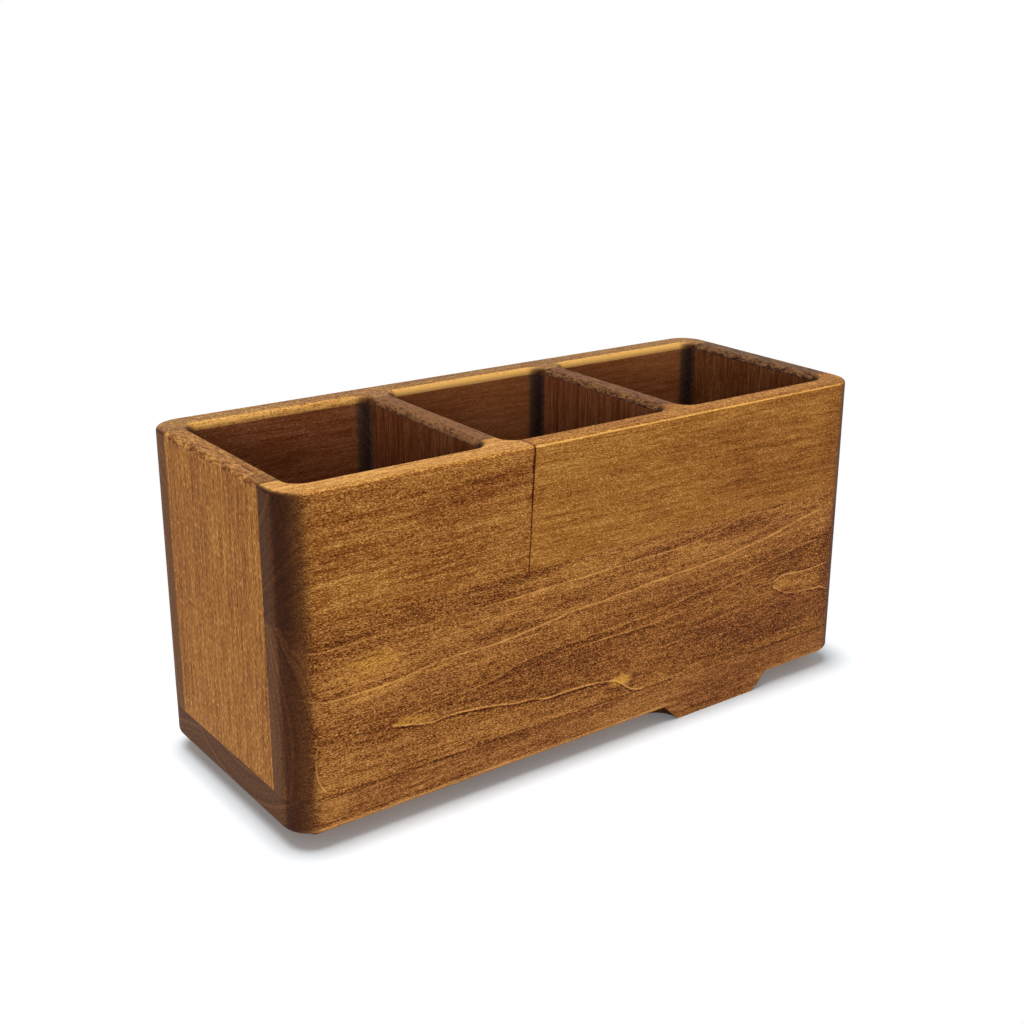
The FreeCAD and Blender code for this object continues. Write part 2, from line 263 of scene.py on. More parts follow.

# Each board: its stain, the way its grain runs, a seed of its own, and the pith's place across the
# grain in millimetres, as two polynomials of the distance along it in hundreds of millimetres.
# Across is Y and Z where the grain runs along X, and X and Y where it runs along Z.
# The rest is optional, with its lengths in millimetres:
#   flame       rings that meet the face in pointed flames: the slope of their cone, and the
#               polynomial of its axis's height
#   calm        what the rings, flecks and specks are multiplied by: a calm board has it below 1
#   lines       pale ring edges: radius, half width, strength, then where they start and end
#   veins       drawn growth lines: the way they run, width, strength (a dark one is below 0), the
#               side and width of the shade beside them, its strength, then their points
#   patches     soft stains on the face: middle along the grain, level across it, half length,
#               half height, amount
#   seams       dark glue lines: the axis that they cross, the place on it, half width, strength
#   rim         how much paler the sanded rim is, partly as a painted highlight
#   rim_gloss   how much the rim shines
#   rim_sheen_tint  what the colour of the rim's flat is multiplied by: a painted reflection that
#   greys it
#   torn        how strong the sander's flecks are on the rim
#   bevel_highlight  how much paler the rim's inner rounding is, a painted highlight; else the
#   finish's rim_highlight
#   bevel_sheen_tint  what the colour of the rim's roundings is multiplied by: a painted reflection
#   that greys them
#   arris_shading  how much paler the rim's outer edge is: a painted highlight, or painted shade
#   below 0
#   hem_light   how much paler the rounded lower edge is: painted light on a face that looks down
#   end         the tone of its end grain
#   end_rim_highlight  how much paler the end grain is on the rim: a painted highlight
#   top_face    how much of the rim takes the face's stain where it is end grain
#   inner  what the tint of the faces inside the compartments is multiplied by: painted shade
BOARDS = {
    "front_lower_plank": {
        "stain": "red_brown",
        "grain": "X",
        "seed": 1.0,
        "pith": ((57.5,), (43.4,)),
        "flame": (0.083, (43.4, -0.2, 0.9, 0.0)),
        "calm": 1.25,
        "end": 0.56,
        "veins": [
            ("X", 0.4, 0.3, 1, 5, 0.06, [
                (-146, 82.9), (-120, 82.5), (-60, 82.3), (-40, 82.9), (0, 83.9), (20, 84.3),
                (40, 84.4), (55, 85.9), (65, 87.9), (75, 90.3), (85, 91.3), (95, 90.5),
                (110, 91.5),
            ]),
            ("X", 0.5, 0.38, 1, 5, 0.07, [
                (-147, 65.4), (-143, 63.9), (-140, 62.9), (-135, 61.9), (-110, 61.9), (-100, 62.9),
                (-90, 64.4), (-78, 65.3), (-60, 65.1), (-40, 66.7), (-20, 68.9), (0, 70.2),
                (20, 71.4), (40, 72.7), (60, 73.7), (80, 75.3), (95, 77.7), (110, 80.6),
                (120, 82.6), (132, 84.1),
            ]),
            ("X", 0.42, 0.28, -1, 5, 0.07, [
                (-108, 43.4), (-100, 45), (-90, 46.9), (-80, 47.9), (-60, 49.7), (-45, 53.3),
                (-30, 54.7), (-10, 55.7), (10, 55.9), (30, 57.1), (50, 60.3), (70, 62.5),
                (90, 64.4), (110, 67.4), (132, 69.5),
            ]),
            ("X", 0.48, 0.5, -1, 2, 0.3, [
                (-108, 43.4), (-100, 41.7), (-90, 39.7), (-80, 40.1), (-72, 39.7), (-60, 37.9),
                (-48, 35.3), (-40, 34.8), (-35, 33.4), (-20, 32.9), (-8, 32.3), (0, 31.1),
                (5, 30.1), (9, 27.9), (12, 25.5), (16, 23.1), (24, 21.8),
            ]),
            ("X", 0.4, 0.3, -1, 3, 0.06, [
                (-20, 51.5), (-5, 52.2), (20, 51.9), (40, 52.9), (52, 53.9), (60, 55.3),
                (70, 58.3), (82, 60.3),
            ]),
            ("X", 0.4, 0.16, -1, 2, 0.04, [(-92, 40.5), (-80, 41.7), (-66, 42.1), (-48, 42.7)]),
            ("X", 0.4, 0.14, -1, 2, 0.04, [(-84, 51.3), (-60, 51.7), (-46, 52.9)]),
            ("X", 0.45, 0.42, 1, 3, 0.14, [
                (100.4, 51.9), (101.5, 53.3), (104, 54.9), (108, 55.8), (114, 55.5), (121, 54.7),
                (130, 55), (140, 55.9),
            ]),
            ("X", 0.45, 0.42, -1, 3, 0.14, [
                (100.4, 51.9), (102, 50.9), (105, 48.9), (108, 47.2), (112, 45.7), (118, 44.7),
                (130, 44.1), (136, 43.5), (141, 39.9),
            ]),
            ("Z", 0.4, 0.34, 1, 1.6, 0.1, [
                (23.5, -136), (24.9, -137.4), (26.9, -138.8), (28.9, -139.6), (32.9, -140.4),
                (39.9, -140.6), (42.9, -140), (46.9, -139),
            ]),
            ("X", 0.4, 0.2, 1, 1.5, 0.06, [
                (-138, 24.5), (-136, 23.8), (-133, 23.3), (-126, 22.8),
            ]),
            ("X", 0.5, -0.3, 0, 1, 0, [
                (-150, 22.2), (-130, 22), (-60, 21.8), (0, 21.5), (40, 21.4),
            ]),
        ],
        "patches": [
            (-119, 69.9, 26, 8, 0.18), (-113, 72.9, 14, 5, 0.1), (-122, 77.9, 30, 6, 0.08),
            (-118, 59.9, 26, 4, 0.12), (-72, 85.9, 52, 2.6, 0.02), (-92, 82.9, 30, 3.4, 0.06),
            (-60, 88.4, 40, 4, 0.05), (-61, 70.9, 10, 3.5, -0.08), (-18, 73.9, 16, 3.2, -0.09),
            (-88, 57.4, 26, 4.5, -0.12), (-45, 49.9, 24, 4, -0.06), (-70, 44.1, 12, 2, -0.1),
            (-95, 32.9, 22, 4, -0.06), (-108, 18.9, 18, 4, -0.05), (-30, 82.1, 28, 1.8, 0.12),
            (-8, 87.9, 44, 4.5, 0.13), (5, 26.3, 8, 2.2, -0.2), (50, 82.9, 18, 2.4, 0.14),
            (30, 86.9, 26, 3, -0.09), (90, 84.9, 44, 4, -0.06), (-98, 43.2, 12, 2.4, 0.34),
            (8, 29.5, 8, 3.4, 0.5), (122, 49.9, 20, 4.4, 0.12), (107, 51.4, 7, 3.6, 0.22),
            (88, 38.9, 60, 12, -0.14), (112, 30.9, 34, 5, -0.12), (84, 26.9, 44, 3.4, -0.12),
            (0, 46.9, 60, 6, -0.06), (65, 66.9, 60, 6, -0.06), (143, 58, 15, 46, -0.14),
        ],
        "seams": [("Z", BASE_TOP_Z, 0.35, 0.26), ("Z", GLUE_LINE_Z, 0.3, 0.12)],
    },
    "front_upper_left_stave": {
        "stain": "amber",
        "grain": "X",
        "seed": 2.0,
        "pith": ((14.0, 2.0), (174.0, 6.0, 3.0)),
        "end": 0.42,
        "rim": 0.28,
        "arris_shading": 0.16,
        "veins": [
            ("X", 0.4, 0.2, -1, 3, 0.05, [
                (-98, 102.7), (-90, 103.5), (-80, 104.3), (-70, 105.7), (-56, 106.7),
            ]),
            ("X", 0.4, 0.14, 1, 2, 0.12, [(-86, 107.9), (-76, 109.1), (-66, 109.7)]),
            ("X", 0.4, 0.12, -1, 2, 0.04, [(-106, 110.5), (-96, 110.9), (-86, 111.3)]),
            ("X", 0.4, 0.12, -1, 2, 0.06, [(-78, 116.9), (-66, 117.9), (-50, 118.3)]),
            ("X", 0.4, 0.12, -1, 2, 0.06, [(-76, 98.9), (-60, 99.7), (-42, 99.9)]),
            ("Z", 0.9, -0.5, 0, 1, 0, [
                (118.9, -40.3), (126.9, -40), (134.9, -39.6), (146.9, -39),
            ]),
        ],
        "patches": [
            (-68, 127.9, 38, 12, -0.05), (-50, 133.9, 20, 6, -0.04), (-125, 118.9, 16, 4, -0.05),
            (-120, 103.9, 28, 12, 0.08), (-60, 140.9, 30, 3, 0.05), (-58, 116, 26, 14, 0.05),
            (-70, 96.9, 40, 4, 0.03),
        ],
        "seams": [("X", BUTT_JOINT_X, 0.6, 0.9)],
    },
    "front_upper_right_stave": {
        "stain": "honey",
        "grain": "X",
        "seed": 3.0,
        "pith": ((40.0, 0.0), (0.0, -4.0, 1.0)),
        "calm": 0.92,
        "rim": -0.07,
        "arris_shading": 0.55,
        "torn": 2.2,
        "veins": [
            ("X", 0.6, -0.16, 0, 1, 0, [(-24, 109.5), (-14, 109.7), (-6, 109.1), (2, 108.5)]),
            ("X", 0.45, -0.14, 0, 1, 0, [(-30, 113.5), (-16, 113.1), (-2, 112.3)]),
            ("X", 0.5, -0.14, 0, 1, 0, [(-32, 102.5), (-22, 102.3), (-12, 101.5)]),
            ("X", 0.5, -0.12, 0, 1, 0, [(10, 130.9), (40, 129.3), (70, 127.9), (100, 126.9)]),
            ("X", 0.5, -0.12, 0, 1, 0, [(30, 125.9), (70, 123.9), (110, 120.9)]),
            ("X", 0.5, -0.1, 0, 1, 0, [(0, 133.9), (20, 132.5), (50, 130.9)]),
            ("X", 0.5, -0.12, 0, 1, 0, [(60, 112.7), (80, 111.3), (100, 109.3)]),
            ("X", 0.6, -0.16, 0, 1, 0, [(100, 131.5), (112, 130.3), (124, 128.9)]),
            ("X", 0.5, -0.12, 0, 1, 0, [(76, 100.5), (96, 98.9), (116, 96.9)]),
        ],
        "patches": [
            (-18, 136.9, 40, 10, 0.05), (20, 134.9, 24, 8, 0.07), (8, 125.9, 14, 3, -0.08),
            (18, 111.9, 18, 3.4, -0.08), (30, 102.9, 16, 4, -0.1), (55, 95.9, 34, 4, -0.08),
            (90, 118.9, 70, 26, -0.06), (112, 130.9, 12, 3, -0.1), (96, 98.9, 26, 3, -0.07),
            (100, 106.9, 60, 8, -0.05), (138, 118.9, 14, 40, -0.1), (-38, 122.9, 5, 3, -0.12),
            (-25, 101.9, 12, 2, -0.06),
        ],
        "seams": [("X", BUTT_JOINT_X, 0.4, 0.6)],
    },
    "back_lower_plank": {
        "stain": "red_brown",
        "grain": "X",
        "seed": 4.0,
        "pith": ((-62.0, 0.9), (52.0, -3.0, 2.0)),
        "end": 0.62,
        "lines": [
            (120.2, 0.1, 0.26, -200, 200), (122.4, 0.1, 0.28, -200, 200),
            (126.0, 0.1, 0.24, -200, 200),
        ],
        "seams": [("Z", BASE_TOP_Z, 0.45, 0.34)],
    },
    "back_upper_left_stave": {
        "stain": "amber",
        "grain": "X",
        "seed": 5.0,
        "pith": ((-20.0, 2.0), (180.0, 5.0, 2.0)),
        "end": 0.62,
        "rim": -0.04,
        "rim_gloss": 0.14,
        "rim_sheen_tint": (0.92, 1.07, 1.1),
        "bevel_highlight": 0.4,
        "arris_shading": -0.3,
        "torn": 1.4,
        "seams": [("X", BUTT_JOINT_X, 0.45, 0.4)],
    },
    "back_upper_right_stave": {
        "stain": "honey",
        "grain": "X",
        "seed": 6.0,
        "pith": ((-36.0, 0.0), (10.0, 4.0, 1.0)),
        "calm": 0.9,
        "rim": -0.13,
        "rim_gloss": 0.15,
        "rim_sheen_tint": (0.9, 1.05, 1.12),
        "bevel_highlight": 0.78,
        "arris_shading": -0.3,
        "torn": 1.8,
    },
    "left_end_wide_stave": {
        "stain": "tan",
        "grain": "Z",
        "seed": 7.0,
        "pith": ((-44.0, 3.0), (150.0, -7.0)),
        "end_rim_highlight": 0.36,
        "top_face": 0.6,
        "torn": 4.0,
        "patches": [(110, -26, 70, 2.6, -0.1), (40, -21, 70, 3.0, -0.08)],
    },
    "left_end_narrow_stave": {
        "stain": "tan",
        "grain": "Z",
        "seed": 8.0,
        "pith": ((-60.0, 0.0), (60.0, -6.0)),
        "end_rim_highlight": 0.08,
        "top_face": 0.3,
        "torn": 2.0,
    },
    "right_end_wide_stave": {
        **RIGHT_END,
        "seed": 9.0,
        "pith": ((52.0, 3.0), (-150.0, 6.0)),
    },
    "right_end_narrow_stave": {
        **RIGHT_END,
        "seed": 10.0,
        "pith": ((60.0, 0.0), (70.0, -5.0)),
    },
    "left_divider_wide_stave": {
        **LEFT_DIVIDER,
        "seed": 11.0,
        "pith": ((30.0, 3.0), (-110.0, 5.0)),
    },
    "left_divider_narrow_stave": {
        **LEFT_DIVIDER,
        "seed": 12.0,
        "pith": ((-20.0, 0.0), (60.0, -6.0)),
    },
    "right_divider_wide_stave": {
        **RIGHT_DIVIDER,
        "seed": 13.0,
        "pith": ((-60.0, 3.0), (-90.0, 5.0)),
    },
    "right_divider_narrow_stave": {
        **RIGHT_DIVIDER,
        "seed": 14.0,
        "pith": ((120.0, 0.0), (80.0, -6.0)),
    },
    "base_front_plank": {
        **BASE,
        "seed": 15.0,
        "pith": ((-10.0, 2.0), (90.0, 3.0, -2.0)),
        "veins": [
            ("X", 0.8, 0.2, 0, 1, 0, [(-150, 9.3), (-60, 9.2), (40, 9.2)]),
            ("X", 0.35, -0.24, 0, 1, 0, [(-144, 11.3), (-110, 11.0), (-66, 10.9)]),
            ("X", 0.5, -0.32, 0, 1, 0, [(86, 20.7), (104, 20.8), (126, 21.0), (150, 21.3)]),
        ],
        "patches": [
            (-136, 16, 10, 6, 0.16), (-107, 19, 14, 3, -0.08), (-70, 20, 36, 3, -0.07),
            (-10, 19, 40, 2.5, -0.05), (66, 9, 34, 13, -0.12), (120, 15, 34, 8, -0.06),
            (0, 13, 40, 5, 0.06),
        ],
        "seams": [("Z", BASE_TOP_Z, 0.35, 0.3)],
    },
    "base_rear_plank": {
        **BASE,
        "seed": 16.0,
        "pith": ((20.0, 2.0), (-60.0, 3.0, -2.0)),
        "seams": [("Z", BASE_TOP_Z, 0.3, 0.3)],
    },
}


# ---------------------------------------------------------------- the wood

# Noise drawn out along the grain: its pace for each millimetre along the grain and across it, its
# detail and its roughness.
GRAIN_NOISE = {
    "wander": (0.02, 0.035, 1.0, 0.5),
    "ripple": (0.055, 0.12, 1.0, 0.5),
    "streak": (0.04, 0.7, 2.0, 0.6),
    "dash": (0.13, 1.3, 1.0, 0.6),
    "fleck": (0.34, 1.7, 1.0, 0.6),
    "speck": (1.2, 3.6, 1.0, 0.6),
    "blotch": (0.016, 0.05, 2.0, 0.5),
}
FLECK_PACE = {"X": 0.85, "Z": 0.4}  # flecks and specks are longer on an upright board
SEED_STEP = 53.0  # how far apart two boards' seeds put them in the noise

# Noise that depends on the distance from the pith alone: its pace, detail and roughness.
RING_NOISE = (0.42, 3.0, 0.6)
FINE_RING_NOISE = (2.4, 2.0, 0.6)

# How strong each kind of mark is in the tone.
RING_WEIGHT, FINE_RING_WEIGHT = 0.30, 0.18
STREAK_WEIGHT = {"X": 0.5, "Z": 0.9}
DASH_WEIGHT, FLECK_WEIGHT, SPECK_WEIGHT, GLINT_WEIGHT = 0.42, 0.52, 1.25, 0.35
BLOTCH_WEIGHT = 0.30

# Glints are the palest of the specks: where they begin and are full, and about their mean.
GLINTS, GLINT_MEAN = (0.48, 0.8), 0.1

# What blotches and patches add to the tone where the deep and the pale tint begin and are full.
DEEP_STAIN, PALE_STAIN = (0.04, -0.22), (0.04, 0.32)

# How far lines stray, in millimetres, with the slow noise and with the quick one.
RING_STRAY, VEIN_STRAY, FLAME_SWAY, PATCH_SWAY = (1.6, 0.5), (1.4, 0.8), (0.0, 3.0), (8.0, 0.0)

# Over how many millimetres lines fade at their ends.
LINE_FADE, VEIN_FADE_IN, VEIN_FADE_OUT = 12.0, 1.5, 5.0

# The cone of a flame board, in millimetres.
FLAME_TIP = 0.6  # the square of how blunt its tip is
FLAME_RADIUS = 117.0  # of the rings behind it
FLAME_DEPTHS = (-53.0, -59.0)  # the levels on Y between which it takes over
FLAME_TAPER = -0.00876  # how fast it opens towards the right
FLAME_STRAY = 0.10  # how much of the usual stray its rings have

# Masks: products of S curves, each 0 at the first number and 1 at the second. "up" is how far the
# surface faces up, from -1 to 1. The others are millimetres: height, and the distance from the
# caddy's middle towards a long side or an end.
INSIDE = [("side", 48.6, 47.6), ("end", 139.9, 139.2), ("height", 20.4, 21.2)]
# The inside masks carry painted shade. The rim masks carry sander flecks and painted highlights and
# reflections. The inner rounding, outer edge and hem masks carry painted highlights and shade.
MASKS = {
    "inside X": [*INSIDE, ("height", 142.1, 141.5)],
    "inside Z": [*INSIDE, ("height", 142.9, 142.4)],
    "rim X": [("up", 0.5, 0.92), ("height", 140.0, 143.0)],
    "rim Z": [("up", 0.03, 0.15), ("height", 140.0, 142.0)],
    "rim flat": [("up", 0.9, 0.99), ("height", 143.0, 144.5)],
    "inner rounding": [("up", 0.985, 0.9), ("height", 141.5, 142.1), ("side", 51.5, 50.0)],
    "outer edge": [("height", 143.0, 143.4), ("side", 57.0, 57.6)],
    "hem_light": [("up", -0.04, -0.3), ("height", 6.0, 7.0)],
}


class BoardShader(Shader):
    """Solid stained wood: each point's colour follows its distance from the tree's pith, so the
    same ring runs from a face over an edge into the end grain, with fibres drawn out along it."""

    def __init__(self, name, board):
        super().__init__(bpy.data.materials.new(name + "_wood"))
        self.board, self.grain = board, board["grain"]
        self.look = bpy.context.scene.caddy_finish
        self.place = self.scaled(self.coordinates("Object"), *[MILLIMETRES] * 3)
        self.x, self.y, self.z = x, y, z = self.split(self.place)
        normal = self.split(self.coordinates("Normal"))
        self.up = normal[2]
        self.lengthwise = self.grain == "X"
        self.along, self.first, self.second = (x, y, z) if self.lengthwise else (z, x, y)
        self.facing = abs(normal[0] if self.lengthwise else normal[2])
        self.measures = {"up": self.up, "height": z, "side": abs(y), "end": abs(x)}
        self.seed = board["seed"] * SEED_STEP
        self.noises = {kind: self.grain_noise(kind) for kind in GRAIN_NOISE}
        self.radius = self.ring_radius()
        self.ring = self.noise_line(self.radius + self.seed, *RING_NOISE)
        self.fine_ring = self.noise_line(self.radius + self.seed * 1.7, *FINE_RING_NOISE)
        # Inside the compartments: where painted shade darkens the wood, and its roughness rises
        self.inside = self.mask("inside " + self.grain)
        self.upward = self.mask("rim " + self.grain)
        self.mottle = self.sander_flecks()
        self.finish()

    def mask(self, name):
        """From 0 to 1, how much a point belongs to that part of the caddy."""
        return math.prod(self.rise(self.measures[m], low, high) for m, low, high in MASKS[name])

    def grain_noise(self, kind):
        """One of GRAIN_NOISE, in this board's own part of the noise."""
        along, across, detail, roughness = GRAIN_NOISE[kind]
        if kind in ("fleck", "speck"):
            along = along * FLECK_PACE[self.grain]
        place = self.combine(
            self.along * along + self.seed, self.first * across, self.second * across
        )
        return self.noise(place, 1.0, detail, roughness)

    def stray(self, widths):
        """How far a line leaves its path in millimetres: a slow noise and a quick one, each
        centred on nothing and times its width."""
        slow, quick = self.noises["wander"] - 0.5, self.noises["ripple"] - 0.5
        return slow * widths[0] + quick * widths[1]

    def ring_radius(self):
        """Distance from the pith in millimetres: the root of the squares of the two offsets
        across the grain, strayed by noise. A flame board has a straight-sided cone instead of a
        round one near its face, and that cone opens towards the right."""
        board, t = self.board, self.along * 0.01
        off_first = self.first - polynomial(t, board["pith"][0])
        off_second = self.second - polynomial(t, board["pith"][1])
        radius = (off_first * off_first + off_second * off_second) ** 0.5
        share = self.look.ring_wander
        if "flame" in board:
            slope, axis = board["flame"]
            rise = self.second - polynomial(t, axis) + self.stray(FLAME_SWAY)
            cone = (rise * rise + FLAME_TIP) ** 0.5 * slope - rise * rise * (0.5 / FLAME_RADIUS)
            cone = cone * self.rise(self.first, *FLAME_DEPTHS)
            radius = radius + cone + self.along * FLAME_TAPER
            share = share * FLAME_STRAY
        return radius + self.stray(RING_STRAY) * share

    def sander_flecks(self):
        """Flecks that the sander tears in the rim. On end grain they run along the panel."""
        place = self.place
        if not self.lengthwise:
            place = self.combine(self.x * 0.9 + self.seed, self.y * 0.22, self.z * 0.5)
        return self.noise(place, 1.0, 3.0, 0.6, 1.2)

    def fibre_tone(self):
        """Tone of the rings, fibres, pores and specks, centred on a half. Inside the compartments
        the coarse ones are half as strong."""
        noises = self.noises
        rough = (1.0 - self.inside * 0.5) * self.board.get("calm", 1.0)
        return (
            0.5
            + (self.ring - 0.5) * RING_WEIGHT * rough
            + (self.fine_ring - 0.5) * FINE_RING_WEIGHT
            + (noises["streak"] - 0.5) * STREAK_WEIGHT[self.grain]
            + (noises["dash"] - 0.5) * DASH_WEIGHT * rough
            + (noises["fleck"] - 0.5) * FLECK_WEIGHT * rough
            + (noises["speck"] - 0.5) * SPECK_WEIGHT * rough
            + (self.rise(noises["speck"], *GLINTS) - GLINT_MEAN) * GLINT_WEIGHT * rough
        )

    def stretch(self, along, start, end, fade_in, fade_out):
        """1 between start and end, falling to 0 at both over the lengths of the fades."""
        return self.rise(along, start, start + fade_in) * self.rise(along, end, end - fade_out)

    def line_tone(self, centre, width, strength, start, end):
        """A ring edge's tone: a pale bump at one radius, with a fainter dark one just inside it."""
        shown = self.stretch(self.along, start, end, LINE_FADE, LINE_FADE)
        dark = self.bump_at(self.radius, centre - width * 2.2, width * 2.0) * 0.35
        return (self.bump_at(self.radius, centre, width) - dark) * shown * strength

    def vein_tone(self, runs, width, strength, side, band, shade, points):
        """A drawn growth line's tone: highest where the distance from the line is nothing, with
        a band of the opposite tone along one side, and both fading out over the line's ends."""
        along, across = (self.x, self.z) if runs == "X" else (self.z, self.x)
        away = across - self.curve(along, points) + self.stray(VEIN_STRAY)
        shown = self.stretch(along, points[0][0], points[-1][0], VEIN_FADE_IN, VEIN_FADE_OUT)
        tone = self.bump_at(away, 0.0, width * 1.5) * strength
        if shade:
            beside, edge = away * float(side), width * 1.6
            tone = tone - self.rise(beside, 0.3, edge) * self.rise(beside, band, edge) * shade
        return tone * shown * (self.noises["ripple"] * 1.6 + 0.2)

    def patch_tone(self, middle, level, reach, height, amount):
        """A soft stain's tone: an ellipse on the face, fading from its middle to its outline,
        which noise sways."""
        across = self.z if self.lengthwise else self.y
        off_along = (self.along - middle) / reach
        off_across = (across - level + self.stray(PATCH_SWAY)) / height
        return self.rise(off_along ** 2.0 + off_across ** 2.0, 1.0, 0.0) * amount

    def seam_tone(self, axis, level, width, strength):
        """A glue line's tone: a dark bump where the distance across the joint is nothing."""
        gap = self.z - level
        if axis == "X":
            gap = self.x - level - (self.z - RIM_Z) * BUTT_JOINT_LEAN
        return self.bump_at(gap, 0.0, width) * -strength

    def edge_tone(self):
        """What the rim, its roundings and the rounded lower edge add to the tone: sander flecks,
        and painted highlights and painted shade.
        """
        board, torn = self.board, self.mottle - 0.5
        # The rim: sander flecks, and a paler tone that is partly sanded wood and partly painted
        # highlight
        tone = self.upward * (board.get("rim", 0.0) + torn * board.get("torn", 1.0))
        # The outer edge: a painted highlight on the front, painted shade on the back where it turns
        # away
        if "arris_shading" in board:
            turn = self.bump_at(self.up, 0.6, 0.3)
            tone = tone + turn * self.mask("outer edge") * board["arris_shading"]
        # The rounded lower edge: painted light, paler though it faces down
        if "hem_light" in board:
            tone = tone + self.mask("hem_light") * board["hem_light"]
        # The inner rounding: a painted highlight, with sander flecks in it
        if self.lengthwise:
            highlight = board.get("bevel_highlight", self.look.rim_highlight) + torn * 0.9
            tone = tone + self.mask("inner rounding") * highlight
        return tone

    def face_colour(self):
        """The stain along the grain, a little bluer where it lies thick and yellower where it
        lies thin."""
        board, look = self.board, self.look
        tone = self.fibre_tone()
        zone = (self.noises["blotch"] - 0.5) * BLOTCH_WEIGHT
        for line in board.get("lines", []):
            tone = tone + self.line_tone(*line)
        for vein in board.get("veins", []):
            tone = tone + self.vein_tone(*vein)
        for patch in board.get("patches", []):
            zone = zone + self.patch_tone(*patch)
        tone = tone + zone
        for seam in board.get("seams", []):
            tone = tone + self.seam_tone(*seam)
        face = self.ramp(tone + self.edge_tone(), even_stops(STAINS[board["stain"]]))
        face = self.tint(self.rise(zone, *DEEP_STAIN), face, look.deep_tint, "MULTIPLY")
        return self.tint(self.rise(zone, *PALE_STAIN), face, look.pale_tint, "MULTIPLY")

    def end_colour(self):
        """End grain drinks more stain, and shows the rings as thin pale arcs. On the rim it is
        paler, a painted highlight, most of all on an upright board's roundings.
        """
        # Sander flecks on the rim, and a painted highlight on the roundings of an upright board's
        # rim
        torn, highlight = (1.2, 0.0) if self.lengthwise else (2.2, 0.2)
        tone = (
            self.board.get("end", 0.5)
            + (self.ring - 0.5) * 0.4
            + (self.fine_ring - 0.5) * 0.4
            + (self.noise(self.place, 0.9, 2.0, 0.6) - 0.5) * 0.6
            + (self.mottle - 0.5) * self.upward * torn
            + self.rise(self.facing, 0.93, 0.99) * 0.24
            + self.upward * self.board.get("end_rim_highlight", 0.0)
            + self.upward * self.rise(self.up, 0.99, 0.93) * highlight
        )
        return self.ramp(tone, even_stops(END_GRAIN))

    def end_share(self):
        """How much of the colour is end grain: it grows as the surface turns across the fibres,
        and the whole rim of an upright board is cut across them."""
        facing = self.facing
        if self.lengthwise:
            cut = self.rise(facing, 0.04, 0.5) * 0.72 + self.rise(facing, 0.3, 0.85) * 0.28
        else:
            cut = self.math("MAXIMUM", self.rise(facing, 0.2, 0.8), self.upward)
        return cut * (1.0 - self.upward * self.board.get("top_face", 0.0))

    def colour(self):
        """Face and end grain together, with painted reflections tinting the rim and its roundings,
        and painted shade inside the compartments.
        """
        board, look = self.board, self.look
        colour = self.tint(self.end_share(), self.face_colour(), self.end_colour())
        # The rim's flat: a painted reflection that greys it
        if "rim_sheen_tint" in board:
            colour = self.tint(self.mask("rim flat"), colour, board["rim_sheen_tint"], "MULTIPLY")
        # The rim's roundings: a painted reflection that greys them
        if "bevel_sheen_tint" in board:
            turned = self.upward * self.rise(self.up, 0.97, 0.88)
            colour = self.tint(turned, colour, board["bevel_sheen_tint"], "MULTIPLY")
        # Inside the compartments the colour is darkened by painted shade, more on the right end and
        # the dividers
        wall_shade = tuple(board.get("inner", 1.0) * channel for channel in look.inside_shade_tint)
        # The end grain of the rounded corners gets the corner tint: painted shade over its own dark
        # colour
        inner = self.tint(self.rise(self.facing, 0.05, 0.45), wall_shade, look.corner_shade_tint)
        shaded_inside = self.tint(1.0, colour, inner, "MULTIPLY")
        return self.tint(self.inside, colour, shaded_inside)

    def finish(self):
        """The surface: the colour, a satin sheen, and open pores as bumps."""
        fleck, streak, speck = [self.noises[kind] - 0.5 for kind in ("fleck", "streak", "speck")]
        height = fleck * 0.6 + streak * 0.8 + speck * 0.3
        pores = {"Strength": 0.5, "Distance": self.look.pore_depth, "Height": height}
        surface = self.add(
            "ShaderNodeBsdfPrincipled",
            None,
            {
                "Base Color": self.colour(),
                "Roughness": 0.55 + fleck * 0.25 + self.inside * 0.12,
                "Normal": self.add("ShaderNodeBump", None, pores),
                "IOR": 1.45,
                "Specular IOR Level": 0.06,
                "Coat Weight": self.upward * self.board.get("rim_gloss", 0.0),
                "Coat Roughness": 0.4,
            },
        )
        self.add("ShaderNodeOutputMaterial", None, {0: surface})


def plain_dowel_wood():
    """Raw pale wood of the hidden dowels: fine fibres along each peg."""
    s = Shader(bpy.data.materials.new("plain_dowel_wood"))
    tone = s.noise(s.scaled(s.coordinates("Object"), 900.0, 900.0, 120.0), 1.0, 3.0, 0.6)
    colour = s.ramp(tone, [(0.2, linear(176, 140, 98)), (0.8, linear(222, 190, 146))])
    surface = s.add(
        "ShaderNodeBsdfPrincipled", None, {"Base Color": colour, "Roughness": 0.7 + tone * 0.1}
    )
    s.add("ShaderNodeOutputMaterial", None, {0: surface})
    return s.owner


def dress(node, material):
    """Puts one material on every slot of a CAD node."""
    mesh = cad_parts[node].data
    if not mesh.materials:
        mesh.materials.append(material)
    for i in range(len(mesh.materials)):
        mesh.materials[i] = material


# ---------------------------------------------------------------- settings


